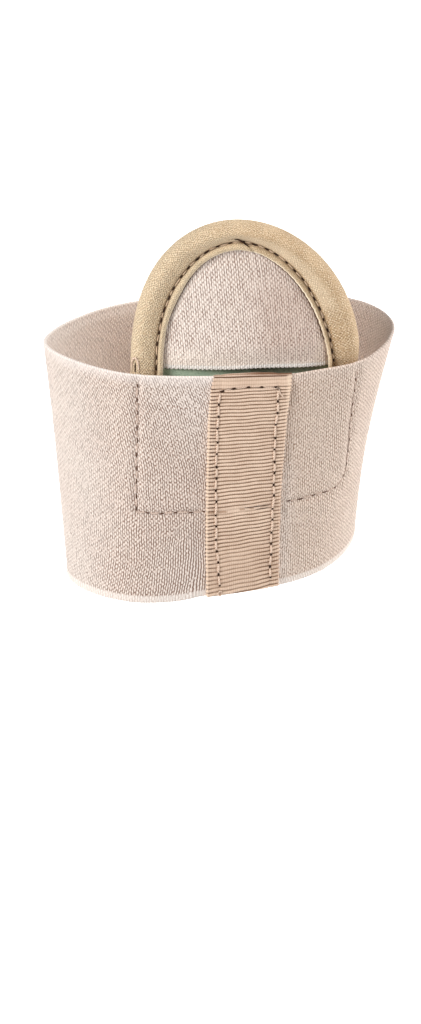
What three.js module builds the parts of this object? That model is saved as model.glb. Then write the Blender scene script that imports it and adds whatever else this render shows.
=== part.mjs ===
// Forefoot support bandage in the form that it has when worn: a looped elastic band, a ribbed tape over its
// seam, and a padded pocket behind the seam that stands out past the band's front edge.
// Millimetres. +Z runs along the loop to its front edge, -Y is the sole side and +X the medial side.
// The origin is the middle of the loop's hollow.
import * as THREE from "three";

// Outer face of the band, a row for each section from the rear edge to the front edge.
// The points [x, y] start on the seam line and run round by the medial side.
const SECTIONS = [
  {
    z: -29.2,
    seam: [5.5, -27.5],
    soleMedial: [26, -16.5],
    medial: [34, 3],
    instepMedial: [26, 22.5],
    instep: [2, 30],
    instepLateral: [-25, 15.5],
    lateral: [-38, -20.5],
    soleLateral: [-23, -32],
  },
  {
    z: 0,
    seam: [6, -25],
    soleMedial: [29, -15.5],
    medial: [37, 4],
    instepMedial: [29.5, 20],
    instep: [3, 26],
    instepLateral: [-27, 14.5],
    lateral: [-40.5, -12.5],
    soleLateral: [-24.5, -26],
  },
  {
    z: 29.2,
    seam: [7, -22.5],
    soleMedial: [34.5, -14.5],
    medial: [43, 5],
    instepMedial: [35, 18],
    instep: [4, 22.5],
    instepLateral: [-30, 13.5],
    lateral: [-43.5, -4.5],
    soleLateral: [-27, -20],
  },
];
const SECTION_POINTS = Object.keys(SECTIONS[0]).filter((name) => name !== "z");
const BAND_HEIGHT = SECTIONS[2].z - SECTIONS[0].z;

// Cloth thicknesses, and the gap between cloths that lie on each other
const BAND_THICKNESS = 1.4;
const TAPE_THICKNESS = 0.9;
const COVER_THICKNESS = 1;
const LAYER_GAP = 0.3;

// The band is one strip whose ends butt on the seam line. Beside the tape its rear edge puckers up a little.
const BUTT_GAP = 0.6;
const PUCKER = { u: -11, reach: 2.6, rise: 1.2, fade: 12 };

// Edges of the tape to both sides of the seam line, a row for each height above the band's front edge
const TAPE_EDGES = [
  { v: -57.6, left: -9.5, right: 8.8 },
  { v: -44, left: -9.7, right: 8.6 },
  { v: -32, left: -9.7, right: 8.5 },
  { v: -12, left: -9.7, right: 9.1 },
  { v: 0, left: -9.7, right: 10 },
];
const TAPE_FOLD_RISE = 0.45;
const TAPE_FLAP = 5;

// The pad: half an ellipse in front of its widest line, a rectangle with round corners behind it
const PAD = { centreU: 0.4, widestV: -3, halfWidth: 30.8, frontReach: 40.5, rearReach: 34.2, cornerRadius: 8 };
const PAD_LEAN = THREE.MathUtils.degToRad(8);
const PAD_SWAY = 0.11;
const COVER_EDGE_V = 0.8;
const COVER_MIDDLE = 0.42;

// Width of the rim on each side of the pad, as a share of the insets below: it is pulled narrow over the front.
const RIM_SHARE = { lateral: 1.1, medial: 1.3, front: 0.85, rear: 1 };

// Depths of the pad's layers below the band's outer face
const RIM_TOP = -BAND_THICKNESS - LAYER_GAP;
const LIP_UNDERSIDE = RIM_TOP - 1.05;
const COVER_TOP = LIP_UNDERSIDE - LAYER_GAP;
const COVER_UNDERSIDE = COVER_TOP - COVER_THICKNESS;
const INSERT_TOP = COVER_UNDERSIDE - LAYER_GAP;
const INSERT_UNDERSIDE = INSERT_TOP - 2.9;
const POCKET_FLOOR = INSERT_UNDERSIDE - LAYER_GAP;
const PAD_UNDERSIDE = POCKET_FLOOR - 1;

// How far in from the pad's outline the pocket's wall stands, and what lies in the pocket
const POCKET_INSET = 6.9;
const FILLING_INSET = POCKET_INSET + LAYER_GAP;
const INSERT_EDGE_ROUND = 0.8;

// Facets
const BAND_COLUMNS = 104;
const BAND_ROWS = 9;
const TAPE_COLUMNS = 6;
const TAPE_ROWS = 16;
const FOLD_STEPS = 8;
const RING_POINTS = 72;
const COVER_ARCH_STEPS = 48;
const COVER_EDGE_STEPS = 20;

const LEAN_DIRECTION = new THREE.Vector3(0, Math.sin(PAD_LEAN), Math.cos(PAD_LEAN));
const LEAN_EASE = 7;
const SLOPE_STEP = 0.4;

// Places on the sheet are given as u, v and n: u runs round from the seam line to the medial side,
// v is the height above the band's front edge, and n stands out from the band's outer face.

// The section at a height on the band: each named point lies on the parabola through its three rows.
const sectionCache = new Map();
function sectionAt(v) {
  const key = v.toFixed(4);
  if (!sectionCache.has(key)) {
    const t = 1 + v / BAND_HEIGHT;
    const weights = [(1 - t) * (1 - 2 * t), 4 * t * (1 - t), t * (2 * t - 1)];
    const points = SECTION_POINTS.map((name) => {
      const point = new THREE.Vector3();
      SECTIONS.forEach((row, k) => point.addScaledVector(new THREE.Vector3(...row[name], row.z), weights[k]));
      return point;
    });
    sectionCache.set(key, new THREE.CatmullRomCurve3(points, true, "centripetal"));
  }
  return sectionCache.get(key);
}

function bandPoint(u, v) {
  const section = sectionAt(v);
  return section.getPointAt(THREE.MathUtils.euclideanModulo(u / section.getLength(), 1));
}

// A point on the band's outer face, which past the front edge goes on and eases into the pad's lean
function facePoint(u, v) {
  if (v <= 0) return bandPoint(u, v);
  const edge = bandPoint(u, 0);
  const slope = edge.clone().sub(bandPoint(u, -SLOPE_STEP)).divideScalar(SLOPE_STEP);
  const eased = LEAN_EASE * (1 - Math.exp(-v / LEAN_EASE));
  return edge.addScaledVector(slope, eased).addScaledVector(LEAN_DIRECTION, v - eased);
}

// A point that stands off the outer face by n, along the face's normal
function place(u, v, n) {
  const across = facePoint(u + SLOPE_STEP, v).sub(facePoint(u - SLOPE_STEP, v));
  const along = facePoint(u, v + SLOPE_STEP).sub(facePoint(u, v - SLOPE_STEP));
  return facePoint(u, v).addScaledVector(across.cross(along).normalize(), n);
}

function geometryOf(points, index) {
  const geometry = new THREE.BufferGeometry().setFromPoints(points);
  geometry.setIndex(index);
  geometry.computeVertexNormals();
  return geometry;
}

// A closed slab between an outer and an inner grid of points, with i across and j along
function slabGeometry(columns, rows, outer, inner) {
  const points = [];
  for (const grid of [outer, inner]) {
    for (let i = 0; i <= columns; i++) {
      for (let j = 0; j <= rows; j++) points.push(grid(i, j));
    }
  }
  const out = (i, j) => i * (rows + 1) + j;
  const back = (i, j) => out(columns + 1 + i, j);
  const index = [];
  const quad = (a, b, c, d) => index.push(a, b, c, a, c, d);
  for (let i = 0; i < columns; i++) {
    for (let j = 0; j < rows; j++) {
      quad(out(i, j), out(i + 1, j), out(i + 1, j + 1), out(i, j + 1));
      quad(back(i, j), back(i, j + 1), back(i + 1, j + 1), back(i + 1, j));
    }
    quad(back(i, 0), back(i + 1, 0), out(i + 1, 0), out(i, 0));
    quad(out(i, rows), out(i + 1, rows), back(i + 1, rows), back(i, rows));
  }
  for (let j = 0; j < rows; j++) {
    quad(back(0, j), out(0, j), out(0, j + 1), back(0, j + 1));
    quad(out(columns, j), back(columns, j), back(columns, j + 1), out(columns, j + 1));
  }
  return geometryOf(points, index);
}

// A closed solid of rings that start at one pole, run out and back, and end at another pole
function ringGeometry(firstPole, rings, lastPole) {
  const count = rings[0].length;
  const points = [firstPole, ...rings.flat(), lastPole];
  const at = (j, k) => 1 + j * count + (k % count);
  const last = points.length - 1;
  const index = [];
  for (let k = 0; k < count; k++) {
    index.push(0, at(0, k), at(0, k + 1));
    for (let j = 0; j + 1 < rings.length; j++) {
      index.push(at(j, k), at(j + 1, k), at(j + 1, k + 1));
      index.push(at(j, k), at(j + 1, k + 1), at(j, k + 1));
    }
    index.push(at(rings.length - 1, k), last, at(rings.length - 1, k + 1));
  }
  return geometryOf(points, index);
}

// The elastic band

// Rise of the rear edge where the tape's stitching draws the band together
function pucker(u, v) {
  const beside = Math.exp(-(((u - PUCKER.u) / PUCKER.reach) ** 2));
  return PUCKER.rise * beside * Math.exp(-(v + BAND_HEIGHT) / PUCKER.fade);
}

function bandGeometry() {
  const grid = (n) => (i, j) => {
    const v = BAND_HEIGHT * (j / BAND_ROWS - 1);
    const around = sectionAt(v).getLength();
    const u = BUTT_GAP / 2 + (around - BUTT_GAP) * (i / BAND_COLUMNS);
    return place(u, v + pucker(u - around, v), n);
  };
  return slabGeometry(BAND_COLUMNS, BAND_ROWS, grid(0), grid(-BAND_THICKNESS));
}

// The seam tape

function tapeEdgesAt(v) {
  const next = Math.max(1, TAPE_EDGES.findIndex((row) => row.v >= Math.min(v, 0)));
  const [low, high] = [TAPE_EDGES[next - 1], TAPE_EDGES[next]];
  const share = THREE.MathUtils.clamp((v - low.v) / (high.v - low.v), 0, 1);
  return {
    left: THREE.MathUtils.lerp(low.left, high.left, share),
    right: THREE.MathUtils.lerp(low.right, high.right, share),
  };
}

// One face of the tape as heights and depths: up the band, round its front edge and down inside it
function tapePath(lift) {
  const middle = -BAND_THICKNESS / 2;
  const reach = BAND_THICKNESS / 2 + LAYER_GAP + lift;
  const rear = TAPE_EDGES[0].v;
  const path = [];
  for (let j = 0; j < TAPE_ROWS; j++) path.push({ v: rear * (1 - j / TAPE_ROWS), n: middle + reach });
  for (let j = 0; j <= FOLD_STEPS; j++) {
    const angle = (Math.PI * j) / FOLD_STEPS;
    path.push({ v: (TAPE_FOLD_RISE + lift) * Math.sin(angle), n: middle + reach * Math.cos(angle) });
  }
  path.push({ v: -TAPE_FLAP / 2, n: middle - reach }, { v: -TAPE_FLAP, n: middle - reach });
  return path;
}

function tapeGeometry() {
  const grid = (path) => (i, j) => {
    const { v, n } = path[j];
    const { left, right } = tapeEdgesAt(v);
    return place(THREE.MathUtils.lerp(left, right, i / TAPE_COLUMNS), v, n);
  };
  const outer = tapePath(TAPE_THICKNESS);
  return slabGeometry(TAPE_COLUMNS, outer.length - 1, grid(outer), grid(tapePath(0)));
}

// The pad

// Outline of the pad about the middle of its widest line, anticlockwise seen from outside
function padOutline() {
  const { halfWidth, frontReach, rearReach, cornerRadius } = PAD;
  const side = halfWidth - cornerRadius;
  const rear = cornerRadius - rearReach;
  const path = new THREE.Path();
  path.absellipse(0, 0, halfWidth, frontReach, 0, Math.PI);
  path.absarc(-side, rear, cornerRadius, Math.PI, 1.5 * Math.PI);
  path.absarc(side, rear, cornerRadius, 1.5 * Math.PI, 2 * Math.PI);
  path.closePath();
  return path.getSpacedPoints(RING_POINTS).slice(0, RING_POINTS);
}

// A point of the outline drawn in by the inset, by as much on each side as the rim is wide there
function drawIn(point, inset) {
  const across = point.x > 0 ? RIM_SHARE.medial : RIM_SHARE.lateral;
  const [along, reach] = point.y > 0 ? [RIM_SHARE.front, PAD.frontReach] : [RIM_SHARE.rear, PAD.rearReach];
  return new THREE.Vector2(
    point.x * (1 - (across * inset) / PAD.halfWidth),
    point.y * (1 - (along * inset) / reach),
  );
}

// A point of the pad on the sheet: its front sways to the lateral side
function onPad(point, n) {
  const v = PAD.widestV + point.y;
  return place(PAD.centreU + point.x - PAD_SWAY * Math.max(v, 0), v, n);
}

const PAD_OUTLINE = padOutline();
const PAD_MIDDLE = new THREE.Vector2(0, 0);

function padSolid(profile) {
  const rings = profile.map(({ inset, n }) => PAD_OUTLINE.map((point) => onPad(drawIn(point, inset), n)));
  return ringGeometry(onPad(PAD_MIDDLE, profile[0].n), rings, onPad(PAD_MIDDLE, profile.at(-1).n));
}

// Section of the rim: pocket floor, pocket wall, lip, stitch valley, roll, and the sheet on the inner side
function rimGeometry() {
  const rollMiddle = (RIM_TOP + PAD_UNDERSIDE) / 2;
  return padSolid([
    { inset: 20, n: POCKET_FLOOR },
    { inset: 12, n: POCKET_FLOOR },
    { inset: POCKET_INSET, n: POCKET_FLOOR },
    { inset: POCKET_INSET, n: LIP_UNDERSIDE },
    { inset: 8.2, n: LIP_UNDERSIDE },
    { inset: 8.5, n: LIP_UNDERSIDE + 0.4 },
    { inset: 8.1, n: RIM_TOP - 0.2 },
    { inset: 7.3, n: RIM_TOP - 0.1 },
    { inset: 6.6, n: RIM_TOP - 0.6 },
    { inset: 5.7, n: RIM_TOP - 0.2 },
    { inset: 4.2, n: RIM_TOP },
    { inset: 2.6, n: RIM_TOP - 0.3 },
    { inset: 1.2, n: RIM_TOP - 1 },
    { inset: 0.3, n: RIM_TOP - 2.2 },
    { inset: 0, n: rollMiddle },
    { inset: 0.4, n: PAD_UNDERSIDE + 1.9 },
    { inset: 1.6, n: PAD_UNDERSIDE + 0.7 },
    { inset: 3.4, n: PAD_UNDERSIDE + 0.1 },
    { inset: POCKET_INSET, n: PAD_UNDERSIDE },
    { inset: 13, n: PAD_UNDERSIDE },
    { inset: 20, n: PAD_UNDERSIDE },
  ]);
}

function insertGeometry() {
  const round = INSERT_EDGE_ROUND;
  return padSolid([
    { inset: 20, n: INSERT_TOP },
    { inset: 12, n: INSERT_TOP },
    { inset: FILLING_INSET + round, n: INSERT_TOP },
    { inset: FILLING_INSET, n: INSERT_TOP - round },
    { inset: FILLING_INSET, n: INSERT_UNDERSIDE + round },
    { inset: FILLING_INSET + round, n: INSERT_UNDERSIDE },
    { inset: 12, n: INSERT_UNDERSIDE },
    { inset: 20, n: INSERT_UNDERSIDE },
  ]);
}

// Outline of the cover: the pocket's front arch closed by a straight lower edge
function coverOutline() {
  const apex = drawIn(new THREE.Vector2(0, PAD.frontReach), FILLING_INSET);
  const start = Math.asin((COVER_EDGE_V - PAD.widestV) / apex.y);
  const arch = new THREE.EllipseCurve(0, 0, PAD.halfWidth, PAD.frontReach, start, Math.PI - start);
  const points = arch.getPoints(COVER_ARCH_STEPS).map((point) => drawIn(point, FILLING_INSET));
  for (let k = 1; k < COVER_EDGE_STEPS; k++) {
    points.push(points[COVER_ARCH_STEPS].clone().lerp(points[0], k / COVER_EDGE_STEPS));
  }
  return points;
}

function coverGeometry() {
  const outline = coverOutline();
  const middle = new THREE.Vector2(0, COVER_MIDDLE * PAD.frontReach);
  const ring = (share, n) => outline.map((point) => onPad(point.clone().lerp(middle, 1 - share), n));
  const shares = [0.35, 0.7, 1];
  const rings = [
    ...shares.map((share) => ring(share, COVER_TOP)),
    ...shares.toReversed().map((share) => ring(share, COVER_UNDERSIDE)),
  ];
  return ringGeometry(onPad(middle, COVER_TOP), rings, onPad(middle, COVER_UNDERSIDE));
}

const PIECES = [
  { name: "elastic_band", geometry: bandGeometry(), color: 0xe0cbbe, roughness: 0.9 },
  { name: "seam_tape", geometry: tapeGeometry(), color: 0xe1b491, roughness: 0.85 },
  { name: "pad_rim", geometry: rimGeometry(), color: 0xc8aa78, roughness: 0.85 },
  { name: "pad_cover", geometry: coverGeometry(), color: 0xe1cdc8, roughness: 0.9 },
  { name: "pad_insert", geometry: insertGeometry(), color: 0x648c73, roughness: 0.7 },
];

const bandage = new THREE.Group();
for (const { name, geometry, color, roughness } of PIECES) {
  const mesh = new THREE.Mesh(geometry, new THREE.MeshStandardMaterial({ color, roughness, metalness: 0 }));
  mesh.name = name;
  bandage.add(mesh);
}

export default bandage;
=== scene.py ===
"""Looks of a forefoot support bandage: cloth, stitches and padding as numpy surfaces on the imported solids.

Lengths are millimetres until a mesh is made. Places on the cloth are u, v and n, as in the part's source:
u runs round the loop from the seam line to the medial side, v is the height above the band's front edge,
and n stands out from the band's outer face.
"""

import bpy
import numpy as np
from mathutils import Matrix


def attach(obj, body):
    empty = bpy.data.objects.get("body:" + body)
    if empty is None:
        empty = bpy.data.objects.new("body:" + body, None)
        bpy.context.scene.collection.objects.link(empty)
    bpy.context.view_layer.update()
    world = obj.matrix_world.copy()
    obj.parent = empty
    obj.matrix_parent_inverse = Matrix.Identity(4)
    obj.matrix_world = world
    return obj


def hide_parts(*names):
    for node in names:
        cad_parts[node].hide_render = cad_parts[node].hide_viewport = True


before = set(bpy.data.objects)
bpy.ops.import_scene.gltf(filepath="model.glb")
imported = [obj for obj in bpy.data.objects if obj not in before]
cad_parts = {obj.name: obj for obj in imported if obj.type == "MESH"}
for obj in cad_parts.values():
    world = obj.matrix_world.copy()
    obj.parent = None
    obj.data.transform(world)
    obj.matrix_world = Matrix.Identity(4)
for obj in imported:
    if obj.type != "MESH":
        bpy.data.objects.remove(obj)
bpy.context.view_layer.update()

MM = 0.001
TURN = 2 * np.pi

# Outer face of the band: where each named point lies at the rear edge, in the middle and at the front edge
SECTION_HEIGHTS = np.array([-29.2, 0.0, 29.2])
SECTION_POINTS = {
    "seam": ((5.5, -27.5), (6.0, -25.0), (7.0, -22.5)),
    "sole_medial": ((26.0, -16.5), (29.0, -15.5), (34.5, -14.5)),
    "medial": ((34.0, 3.0), (37.0, 4.0), (43.0, 5.0)),
    "instep_medial": ((26.0, 22.5), (29.5, 20.0), (35.0, 18.0)),
    "instep": ((2.0, 30.0), (3.0, 26.0), (4.0, 22.5)),
    "instep_lateral": ((-25.0, 15.5), (-27.0, 14.5), (-30.0, 13.5)),
    "lateral": ((-38.0, -20.5), (-40.5, -12.5), (-43.5, -4.5)),
    "sole_lateral": ((-23.0, -32.0), (-24.5, -26.0), (-27.0, -20.0)),
}
BAND_HEIGHT = 58.4
BAND_THICKNESS = 1.4
BUTT_GAP = 0.6
FRONT_EDGE = {"half": 0.4, "start": -3.0, "drop": 0.2}
FRONT_DIP = {"u": 9.5, "reach": 5.0, "depth": 0.42}

# The tape's edges to both sides of the seam line
TAPE_EDGES = {
    "v": (-57.6, -44.0, -32.0, -12.0, -3.5, 0.0),
    "left": (-9.5, -9.7, -9.7, -9.7, -9.3, -8.7),
    "right": (8.8, 8.6, 8.5, 9.1, 9.7, 10.0),
}
TAPE_THICKNESS = 0.9
TAPE_FLAP = 5.0
LAYER_GAP = 0.3
TAPE_FACE = LAYER_GAP + TAPE_THICKNESS

# The pad: half an ellipse in front of its widest line, a rectangle with round corners behind it
PAD = {"centre": 0.4, "widest": -3.0, "half_width": 30.8, "front": 40.5, "rear": 34.2, "corner": 8.0}
PAD_LEAN = np.radians(8.0)
PAD_SWAY = 0.11
LEAN_EASE = 7.0
RIM_SHARE = {"lateral": 1.1, "medial": 1.3, "front": 0.85, "rear": 1.0}
CROWN = {"height": 1.3, "half_width": 23.0, "rise": 6.0}

# The cover's lower edge, which lifts towards the lateral side and dips towards the medial side
COVER_EDGE = 0.8
COVER_DROP = 0.12
COVER_LIFT = {"by": 0.3, "from": -4.0, "to": -22.0}
COVER_DIP = {"by": 1.3, "from": 0.0, "to": 24.0}

# Depths of the pad's layers below the band's outer face, and insets from its outline
RIM_TOP = -BAND_THICKNESS - LAYER_GAP
LIP_UNDERSIDE = RIM_TOP - 1.05
COVER_TOP = LIP_UNDERSIDE - LAYER_GAP
COVER_UNDERSIDE = COVER_TOP - 1.0
INSERT_TOP = COVER_UNDERSIDE - LAYER_GAP
INSERT_UNDERSIDE = INSERT_TOP - 2.9
POCKET_FLOOR = INSERT_UNDERSIDE - LAYER_GAP
PAD_UNDERSIDE = POCKET_FLOOR - 1.0
PAD_MIDDLE = (RIM_TOP + PAD_UNDERSIDE) / 2
POCKET_INSET = 6.9
FILLING_INSET = POCKET_INSET + LAYER_GAP
STITCH_INSET = 6.6
LIP_INSET = 8.5


# The sheet that all cloth lies on

TABLE_STEP = 0.5
TABLE_HEIGHTS = np.arange(-60.0, 0.01, TABLE_STEP)
TABLE_COLUMNS = 1536
SPAN_STEPS = 128
SLOPE_STEP = 0.4


def smooth_step(low, high, x):
    """0 below low, 1 above high, and an even S between them."""
    share = np.clip((x - low) / (high - low), 0, 1)
    return share * share * (3 - 2 * share)


def bell(x, middle, width):
    """1 in the middle, and exp of minus the squared distance from it in widths."""
    return np.exp(-(((x - middle) / width) ** 2))


def run_lengths(points):
    """Lengths along lines of points, from each line's first point on."""
    steps = np.linalg.norm(np.diff(points, axis=-2), axis=-1)
    return np.concatenate([np.zeros_like(steps[..., :1]), np.cumsum(steps, axis=-1)], axis=-1)


def cubic_spans(here, after, leave, arrive, steps):
    """Points at even steps on the cubics that go from here to after, with the slopes at both ends."""
    here, after, leave, arrive = (a[..., None, :] for a in (here, after, leave, arrive))
    t = (np.arange(steps) / steps)[:, None]
    square = 3 * (after - here) - 2 * leave - arrive
    cube = 2 * (here - after) + leave + arrive
    return here + t * (leave + t * (square + t * cube))


def band_table():
    """Lengths of the band's sections, and their points spaced evenly by length, a row for each height.

    A named point lies on the parabola through its three places. A section is the closed centripetal
    Catmull-Rom curve through the eight points: a cubic on each span, with slopes from its neighbours.
    """
    places = np.stack([np.array(rows) for rows in SECTION_POINTS.values()], axis=1)
    heights = np.broadcast_to(SECTION_HEIGHTS[:, None, None], places.shape[:2] + (1,))
    rear, middle, front = np.concatenate([places, heights], axis=2)
    t = (1 + TABLE_HEIGHTS / BAND_HEIGHT)[:, None, None]
    here = rear * (1 - t) * (1 - 2 * t) + middle * 4 * t * (1 - t) + front * t * (2 * t - 1)
    before, after, later = (np.roll(here, shift, axis=1) for shift in (1, -1, -2))
    ends = ((before, here), (here, after), (after, later))
    d0, d1, d2 = np.sqrt([np.linalg.norm(b - a, axis=2, keepdims=True) for a, b in ends])
    leave = ((here - before) / d0 - (after - before) / (d0 + d1) + (after - here) / d1) * d1
    arrive = ((after - here) / d1 - (later - here) / (d1 + d2) + (later - after) / d2) * d1
    curve = cubic_spans(here, after, leave, arrive, SPAN_STEPS).reshape(len(TABLE_HEIGHTS), -1, 3)
    curve = np.concatenate([curve, curve[:, :1]], axis=1)
    along = run_lengths(curve)
    shares = np.linspace(0, 1, TABLE_COLUMNS + 1)
    even = [[np.interp(shares * a[-1], a, c[:, k]) for k in range(3)] for a, c in zip(along, curve)]
    return along[:, -1], np.array(even).transpose(0, 2, 1)


SECTION_LENGTHS, SECTION_TABLE = band_table()


def table_row(v):
    """The table row below a height, and how far the height lies on the way to the next row."""
    row = np.clip((v - TABLE_HEIGHTS[0]) / TABLE_STEP, 0, len(TABLE_HEIGHTS) - 1.001)
    low = row.astype(int)
    return low, row - low


def length_round(v):
    """Length of the band's section at a height."""
    low, share = table_row(v)
    return SECTION_LENGTHS[low] * (1 - share) + SECTION_LENGTHS[low + 1] * share


def band_point(u, v):
    """Points of the band's outer face, read from the table in both directions in even shares."""
    low, up = table_row(v)
    column = np.mod(u / length_round(v), 1) * TABLE_COLUMNS
    left = np.minimum(column.astype(int), TABLE_COLUMNS - 1)
    right = (column - left)[..., None]
    up = up[..., None]
    lower = SECTION_TABLE[low, left] * (1 - right) + SECTION_TABLE[low, left + 1] * right
    upper = SECTION_TABLE[low + 1, left] * (1 - right) + SECTION_TABLE[low + 1, left + 1] * right
    return lower * (1 - up) + upper * up


def face_point(u, v):
    """Points of the outer face, which past the front edge goes on along its slope and eases into the lean."""
    inside = band_point(u, np.minimum(v, 0.0))
    edge = band_point(u, np.zeros_like(v))
    slope = (edge - band_point(u, np.full_like(v, -SLOPE_STEP))) / SLOPE_STEP
    past = np.maximum(v, 0.0)
    eased = LEAN_EASE * (1 - np.exp(-past / LEAN_EASE))
    lean = np.array([0, np.sin(PAD_LEAN), np.cos(PAD_LEAN)])
    return inside + slope * eased[..., None] + lean * (past - eased)[..., None]


def sheet_normal(u, v):
    """Unit normals of the outer face: the step across, crossed with the step along."""
    across = face_point(u + SLOPE_STEP, v) - face_point(u - SLOPE_STEP, v)
    along = face_point(u, v + SLOPE_STEP) - face_point(u, v - SLOPE_STEP)
    normal = np.cross(across, along)
    return normal / np.linalg.norm(normal, axis=-1, keepdims=True)


def place(u, v, n):
    """Points that stand off the outer face by n, along its normal."""
    u, v, n = (np.array(a, float) for a in np.broadcast_arrays(u, v, n))
    return face_point(u, v) + n[..., None] * sheet_normal(u, v)


def distance_to_line(u, v, line):
    """Distance in the sheet from each place to the nearest point of a line of u, v points."""
    places = np.stack([u.ravel(), v.ravel()], axis=1)
    nearest = np.full(len(places), np.inf)
    for start, end in zip(line[:-1], line[1:]):
        way = end - start
        share = np.clip((places - start) @ way / (way @ way), 0, 1)
        nearest = np.minimum(nearest, np.linalg.norm(places - start - share[:, None] * way, axis=1))
    return nearest.reshape(u.shape)


def cloth_line(u, v, n):
    """The u, v, n points of a line, where one of the three may be one number for all of it."""
    return np.stack(np.broadcast_arrays(u, v, n), axis=1)


# Meshes

def link(name, data):
    """A new object in the scene."""
    made = bpy.data.objects.new(name, data)
    bpy.context.scene.collection.objects.link(made)
    return made


def quads(grids):
    """The four corners of each cell, in order round it, of grids that are stacked on the first axis."""
    return np.stack([grids[:, :-1, :-1], grids[:, :-1, 1:], grids[:, 1:, 1:], grids[:, 1:, :-1]], axis=3)


class Surface:
    """Points and faces gathered grid by grid, each face corner with its place on the cloth's own map."""

    def __init__(self):
        self.points = []
        self.faces = []
        self.corners = []
        self.count = 0

    def add_points(self, points):
        """Takes points in, and returns their numbers in the shape that they came in."""
        numbers = np.arange(points[..., 0].size).reshape(points.shape[:-1]) + self.count
        self.points.append(points.reshape(-1, 3))
        self.count += numbers.size
        return numbers

    def add_faces(self, faces, corners, flip=False):
        """Takes in faces of one corner count, with a map place for each corner."""
        faces = faces.reshape(-1, faces.shape[-1])
        corners = corners.reshape(faces.shape + (2,))
        self.faces += (faces[:, ::-1] if flip else faces).tolist()
        self.corners.append((corners[:, ::-1] if flip else corners).reshape(-1, 2))

    def add_cells(self, numbers, chart, flip=False):
        """Takes in the cells of one grid of numbered points."""
        self.add_faces(quads(numbers[None]), quads(chart[None]), flip)

    def add_grid(self, points, chart, flip=False):
        """A grid of rows and columns, closed where the chart has one step more than the points.

        A face looks along the step to the next column crossed with the step to the next row.
        """
        numbers = self.add_points(points)
        more = [(0, chart.shape[k] - points.shape[k]) for k in range(2)]
        self.add_cells(np.pad(numbers, more, mode="wrap"), chart, flip)
        return numbers

    def add_cap(self, loop, chart, flip=False):
        """Closes a flat loop of points by strips between its two halves, from one middle to the other."""
        half = len(loop) // 2
        self.add_cells(*(np.stack([a[:half], a[::-1][:half]]) for a in (loop, chart)), flip)

    def make(self, name, finish):
        """The finished object, smooth all over, with its map named chart."""
        mesh = bpy.data.meshes.new(name)
        mesh.from_pydata((np.concatenate(self.points) * MM).tolist(), [], self.faces)
        chart = mesh.uv_layers.new(name="chart")
        chart.data.foreach_set("uv", np.concatenate(self.corners).astype(np.float32).ravel())
        mesh.shade_smooth()
        mesh.materials.append(finish)
        return link(name, mesh)


# Stitch rows on the cloth, as lines of u, v points

POCKET_DOWN = ((-27.3, -1.2), (-26.9, -14.0), (-26.9, -35.1))
POCKET_UP = ((28.4, -26.0), (27.6, -17.0), (27.3, -1.2))
POCKET_CORNER = {"middle": (24.2, -30.9), "radius": 4.2}
TAPE_ROWS = np.array([
    [(-6.5, -56.6), (-6.7, -51.0), (-7.4, -43.0), (-7.6, -27.0), (-7.5, -8.0), (-7.1, -3.6)],
    [(6.5, -56.6), (6.6, -41.0), (6.8, -31.0), (6.5, -16.0), (6.9, -8.0), (6.8, -3.2)],
])
TAPE_ROW_CROSS = np.array([(-7.4, -3.9), (-5.5, -3.2), (-3.8, -2.9), (0.0, -2.85), (6.8, -3.1)])


def pocket_row():
    """The row that sews the pad to the band: down the left, a sharp turn, along the rear, up the right."""
    turn = np.linspace(-np.pi / 2, 0, 9)
    corner = POCKET_CORNER["radius"] * np.stack([np.cos(turn), np.sin(turn)], axis=1)
    return np.concatenate([POCKET_DOWN, POCKET_CORNER["middle"] + corner, POCKET_UP])


# The woven elastic band

BAND_COLUMNS = 320
BAND_ROWS = 98
SELVEDGE_STEPS = 4
FRONT_BEAD = {"width": 0.5, "height": 0.05}
REAR_BEAD = {"width": 1.7, "height": 0.1}
GROOVE = {"depth": 0.34, "width": 0.65, "eased": 0.6, "from": 12.0, "to": 26.0}
GROOVE_INSIDE = 0.1
PILLOW = {"height": 0.3, "width": 5.0, "rise": 2.0}
TAPE_CLEAR = (9.5, 12.0)

# Where the cloth puckers at the rear edge, beside the tape
PUCKER_U = -10.2
PUCKER = {"rise": 0.6, "reach": 4.0, "fade": 12.0}
PUCKER_FOLDS = {"height": 0.1, "reach": 4.0, "fade": 7.0, "rate": 1.9, "slant": 0.16}
PUCKER_DRAW = {"by": 1.6, "reach": 4.5, "fade": 9.0}


def signed(u, v):
    """u counted from the seam line to both sides."""
    around = length_round(v)
    return np.where(u > around / 2, u - around, u)


def puckered(u, v, values):
    """1 at the pucker on the rear edge, a bell to both sides, and fading up the band."""
    return bell(u, PUCKER_U, values["reach"]) * np.exp(-(v + BAND_HEIGHT) / values["fade"])


def band_relief(u, v):
    """Height of the cloth: pressed in along the pocket row, soft beside it, folds at the pucker, waves."""
    off_row = distance_to_line(u, v, pocket_row())
    eased = 1 - GROOVE["eased"] * smooth_step(GROOVE["from"], GROOVE["to"], u)
    pressed = -GROOVE["depth"] * bell(off_row, 0, GROOVE["width"]) * eased
    soft = PILLOW["height"] * bell(off_row, 0, PILLOW["width"]) * smooth_step(0, PILLOW["rise"], off_row)
    waves = 0.07 * np.sin(u / 5.3 + 0.8 * np.sin(v / 9.0)) + 0.06 * np.sin(v / 6.1 + u / 13.0)
    across = PUCKER_FOLDS["rate"] * (u - PUCKER_U + PUCKER_FOLDS["slant"] * (v + BAND_HEIGHT))
    folds = PUCKER_FOLDS["height"] * puckered(u, v, PUCKER_FOLDS) * np.cos(across)
    return smooth_step(*TAPE_CLEAR, np.abs(u)) * (pressed + soft + waves + folds)


def half_thickness(v):
    """Half the band's thickness: even, and thinner towards the front edge."""
    half = BAND_THICKNESS / 2
    return half + (FRONT_EDGE["half"] - half) * smooth_step(FRONT_EDGE["start"], -FRONT_EDGE["half"], v)


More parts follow.
